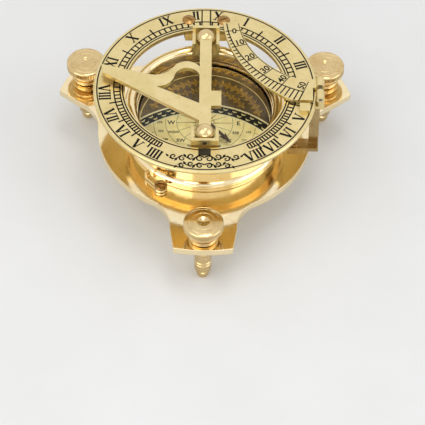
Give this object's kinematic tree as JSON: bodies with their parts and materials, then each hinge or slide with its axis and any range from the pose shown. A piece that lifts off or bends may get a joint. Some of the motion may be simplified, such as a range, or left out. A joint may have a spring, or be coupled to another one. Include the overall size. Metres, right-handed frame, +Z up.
{
  "type": "sundial compass",
  "caption": "Folding equatorial sundial over a compass bowl: tilting hour ring, folding gnomon and latitude arc, on a three-armed base with levelling screws.",
  "frame": {"origin": "on the table, under the middle of the footprint; the bowl axis stands behind it, towards the dial hinge", "axes": "+Z up, +Y to the noon mark and the dial hinge, +X to the latitude arc and its post"},
  "size_m": [0.1312, 0.1198, 0.0595],
  "materials": {
    "polished_brass": "mirror polished and lacquered, with fine buffing lines",
    "satin_brass": "pale satin brass with black filled engraving",
    "copper_alloy": "reddish slotted screws, lightly tarnished",
    "dark_steel": "blued and darkened steel",
    "printed_card": "gilt card with black printed rose",
    "clear_glass": "clear polished flat glass"
  },
  "bodies": {
    "base": {"base_plate": "polished_brass", "compass_bowl": "polished_brass", "bowl_bezel": "polished_brass", "bowl_screws": "copper_alloy", "compass_card": "printed_card", "chapter_ring": "polished_brass", "compass_glass": "clear_glass", "glass_retainer": "polished_brass", "needle_pivot": "dark_steel", "lock_screw": "copper_alloy", "hinge_bracket": "polished_brass", "bracket_screws": "copper_alloy", "hinge_pin": "dark_steel", "index_post": "satin_brass", "post_screws": "copper_alloy"},
    "dial": {"dial_ring": "satin_brass", "hinge_leaf": "satin_brass", "ring_screws": "copper_alloy", "north_yoke": "satin_brass", "south_yoke": "satin_brass", "yoke_screws": "dark_steel", "gnomon_pins": "dark_steel", "arc_bracket": "satin_brass", "arc_bracket_screw": "satin_brass", "arc_hinge_pin": "dark_steel"},
    "gnomon": {"gnomon_plate": "satin_brass", "gnomon_heads": "satin_brass"},
    "arc": {"latitude_arc": "satin_brass"},
    "needle": {"compass_needle": "dark_steel", "needle_cap": "polished_brass"},
    "lever": {"lock_lever": "polished_brass"},
    "foot_front": {"levelling_screw_front": "polished_brass"},
    "knob_front": {"levelling_knob_front": "polished_brass"},
    "foot_left": {"levelling_screw_left": "polished_brass"},
    "knob_left": {"levelling_knob_left": "polished_brass"},
    "foot_right": {"levelling_screw_right": "polished_brass"},
    "knob_right": {"levelling_knob_right": "polished_brass"}
  },
  "joints": [
    {"name": "ring_tilt", "type": "hinge", "parent": "base", "child": "dial", "pos_m": [0, 0.049, 0.0465], "axis": [-1, 0, 0], "range_deg": [0, 50]},
    {"name": "gnomon_fold", "type": "hinge", "parent": "dial", "child": "gnomon", "pos_m": [0, 0.0108, 0.0552], "axis": [0, 1, 0], "range_deg": [0, 90]},
    {"name": "arc_fold", "type": "hinge", "parent": "dial", "child": "arc", "pos_m": [0.0502, 0.0108, 0.05565], "axis": [0, 1, 0], "range_deg": [0, 90]},
    {"name": "needle_swing", "type": "hinge", "parent": "base", "child": "needle", "pos_m": [0, 0.0108, 0.0335], "axis": [0, 0, 1], "continuous": true},
    {"name": "lock_turn", "type": "hinge", "parent": "base", "child": "lever", "pos_m": [-0.01885, -0.02391, 0.0267], "axis": [0, 0, 1], "range_deg": [0, 25]},
    {"name": "foot_front_rise", "type": "slide", "parent": "base", "child": "foot_front", "axis": [0, 0, 1], "range_m": [0, 0.0032]},
    {"name": "knob_front_turn", "type": "hinge", "parent": "foot_front", "child": "knob_front", "pos_m": [0, -0.0512, 0.031], "axis": [0, 0, 1], "range_deg": [0, 1440]},
    {"name": "foot_left_rise", "type": "slide", "parent": "base", "child": "foot_left", "axis": [0, 0, 1], "range_m": [0, 0.0032]},
    {"name": "knob_left_turn", "type": "hinge", "parent": "foot_left", "child": "knob_left", "pos_m": [-0.05369, 0.0418, 0.031], "axis": [0, 0, 1], "range_deg": [0, 1440]},
    {"name": "foot_right_rise", "type": "slide", "parent": "base", "child": "foot_right", "axis": [0, 0, 1], "range_m": [0, 0.0032]},
    {"name": "knob_right_turn", "type": "hinge", "parent": "foot_right", "child": "knob_right", "pos_m": [0.05369, 0.0418, 0.031], "axis": [0, 0, 1], "range_deg": [0, 1440]}
  ],
  "couplings": [
    {"joint": "knob_front_turn", "follows": "foot_front_rise", "rad_per_m": 7854},
    {"joint": "knob_left_turn", "follows": "foot_left_rise", "rad_per_m": 7854},
    {"joint": "knob_right_turn", "follows": "foot_right_rise", "rad_per_m": 7854}
  ]
}
